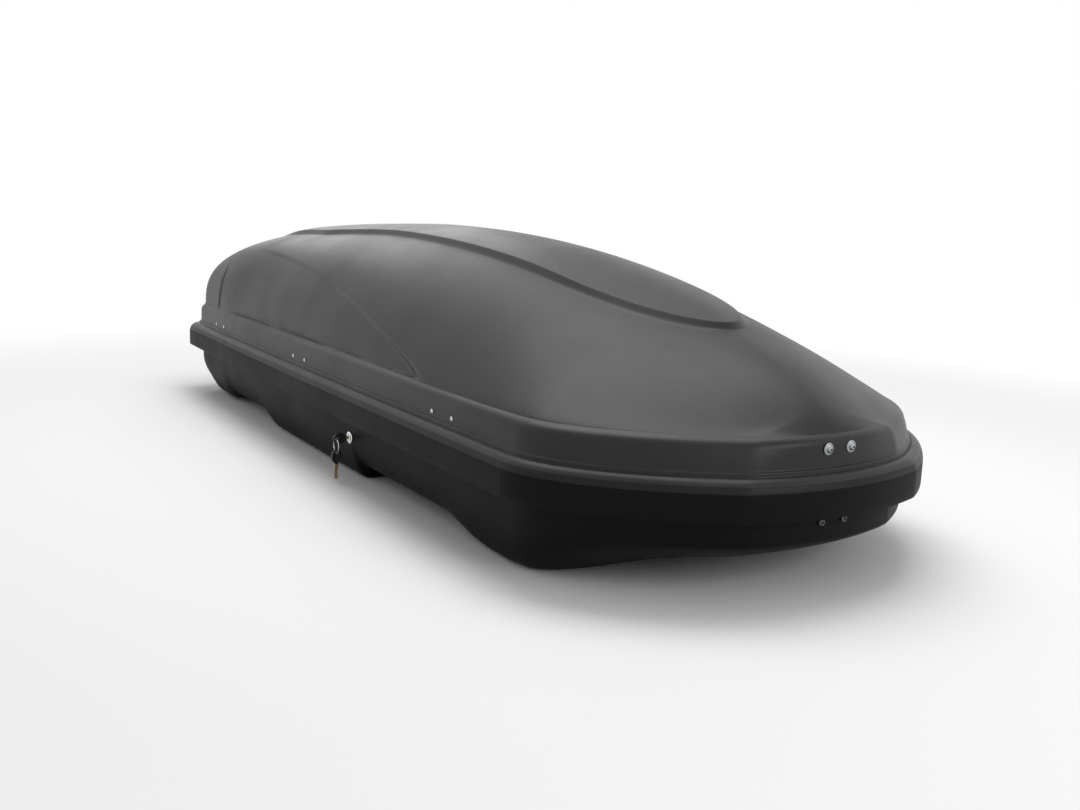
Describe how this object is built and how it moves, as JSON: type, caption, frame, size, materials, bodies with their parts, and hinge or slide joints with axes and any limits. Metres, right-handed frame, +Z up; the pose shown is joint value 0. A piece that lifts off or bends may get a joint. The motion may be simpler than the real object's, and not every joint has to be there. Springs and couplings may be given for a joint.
{
  "type": "roof box",
  "caption": "Streamlined car roof box: tray and side-opening lid with hinges, lifters, key lock and clamp plates.",
  "frame": {"origin": "middle of the overall bounds at the height of the tray's lowest face", "axes": "+X to the front nose, -Y to the side with the lock, +Z up"},
  "size_m": [2.1, 0.8042, 0.4904],
  "materials": {
    "abs": "black ABS sheet, fine grain, satin",
    "zinc_steel": "bright zinc plated steel",
    "black_steel": "black powder coat, satin",
    "chrome": "polished chrome plate",
    "nylon": "black nylon, smooth",
    "nickel_brass": "nickel-plated brass, plating worn"
  },
  "bodies": {
    "tray": {"base_tray": "abs", "clamp_plate_rear_near": "zinc_steel", "clamp_plate_rear_far": "zinc_steel", "clamp_plate_front_near": "zinc_steel", "clamp_plate_front_far": "zinc_steel", "tray_leaf_1": "zinc_steel", "tray_leaf_2": "zinc_steel", "tray_leaf_3": "zinc_steel", "hinge_pin_1": "zinc_steel", "hinge_pin_2": "zinc_steel", "hinge_pin_3": "zinc_steel", "lock_rail": "zinc_steel", "lock_body": "chrome", "lock_nut": "zinc_steel", "tray_bracket_front": "black_steel", "tray_bracket_rear": "black_steel", "tray_bolt_front_a": "zinc_steel", "tray_bolt_front_b": "zinc_steel", "tray_bolt_rear_a": "zinc_steel", "tray_bolt_rear_b": "zinc_steel"},
    "lid": {"lid_shell": "abs", "lid_leaf_1": "zinc_steel", "lid_leaf_2": "zinc_steel", "lid_leaf_3": "zinc_steel", "hinge_rivet_1a": "zinc_steel", "hinge_rivet_1b": "zinc_steel", "hinge_rivet_2a": "zinc_steel", "hinge_rivet_2b": "zinc_steel", "hinge_rivet_3a": "zinc_steel", "hinge_rivet_3b": "zinc_steel", "catch_1": "zinc_steel", "catch_2": "zinc_steel", "catch_3": "zinc_steel", "catch_rivet_1a": "zinc_steel", "catch_rivet_1b": "zinc_steel", "catch_rivet_2a": "zinc_steel", "catch_rivet_2b": "zinc_steel", "catch_rivet_3a": "zinc_steel", "catch_rivet_3b": "zinc_steel", "lid_bracket_front": "black_steel", "lid_bracket_rear": "black_steel", "lid_bolt_front_a": "zinc_steel", "lid_bolt_front_b": "zinc_steel", "lid_bolt_rear_a": "zinc_steel", "lid_bolt_rear_b": "zinc_steel"},
    "lock_bar": {"lock_bar": "zinc_steel"},
    "key": {"lock_core": "chrome", "lock_cam": "zinc_steel", "key_blade": "nickel_brass", "key_bow": "nylon"},
    "ring": {"key_ring": "chrome"},
    "spare_key": {"spare_bow": "nylon", "spare_blade": "nickel_brass"},
    "lower_arm_front": {"lower_arm_front": "black_steel"},
    "upper_arm_front": {"upper_arm_front": "black_steel"},
    "lower_arm_rear": {"lower_arm_rear": "black_steel"},
    "upper_arm_rear": {"upper_arm_rear": "black_steel"}
  },
  "joints": [
    {"name": "lid_hinge", "type": "hinge", "parent": "tray", "child": "lid", "pos_m": [0, 0.3769, 0.14], "axis": [-0.9999, -0.0144, 0], "range_deg": [0, 55]},
    {"name": "bar_slide", "type": "slide", "parent": "tray", "child": "lock_bar", "axis": [0.9999, -0.0144, 0], "range_m": [0, 0.02475]},
    {"name": "key_turn", "type": "hinge", "parent": "tray", "child": "key", "pos_m": [0.11999, -0.35963, 0.086], "axis": [0.0144, 0.9999, 0], "range_deg": [0, 90]},
    {"name": "ring_swing", "type": "hinge", "parent": "key", "child": "ring", "pos_m": [0.11949, -0.39412, 0.0848], "axis": [0.9999, -0.0144, 0], "range_deg": [-30, 10]},
    {"name": "spare_swing", "type": "hinge", "parent": "ring", "child": "spare_key", "pos_m": [0.11949, -0.39412, 0.0588], "axis": [0.9999, -0.0144, 0], "range_deg": [-12, 12]},
    {"name": "lower_arm_front_pivot", "type": "hinge", "parent": "tray", "child": "lower_arm_front", "pos_m": [0.89944, 0.06296, 0.113], "axis": [-0.9999, -0.0144, 0], "range_deg": [0, 56]},
    {"name": "upper_arm_front_pivot", "type": "hinge", "parent": "lid", "child": "upper_arm_front", "pos_m": [0.89097, 0.11284, 0.219], "axis": [0.9999, 0.0144, 0], "range_deg": [0, 55.93]},
    {"name": "lower_arm_rear_pivot", "type": "hinge", "parent": "tray", "child": "lower_arm_rear", "pos_m": [-0.90088, 0.03703, 0.113], "axis": [-0.9999, -0.0144, 0], "range_deg": [0, 56]},
    {"name": "upper_arm_rear_pivot", "type": "hinge", "parent": "lid", "child": "upper_arm_rear", "pos_m": [-0.89385, 0.08714, 0.219], "axis": [0.9999, 0.0144, 0], "range_deg": [0, 55.93]}
  ],
  "couplings": [
    {"joint": "key_turn", "follows": "bar_slide", "rad_per_m": 63.465},
    {"joint": "lower_arm_front_pivot", "follows": "lid_hinge", "ratio": 1.0172},
    {"joint": "upper_arm_front_pivot", "follows": "lid_hinge", "ratio": 1.016},
    {"joint": "lower_arm_rear_pivot", "follows": "lid_hinge", "ratio": 1.0172},
    {"joint": "upper_arm_rear_pivot", "follows": "lid_hinge", "ratio": 1.016}
  ]
}
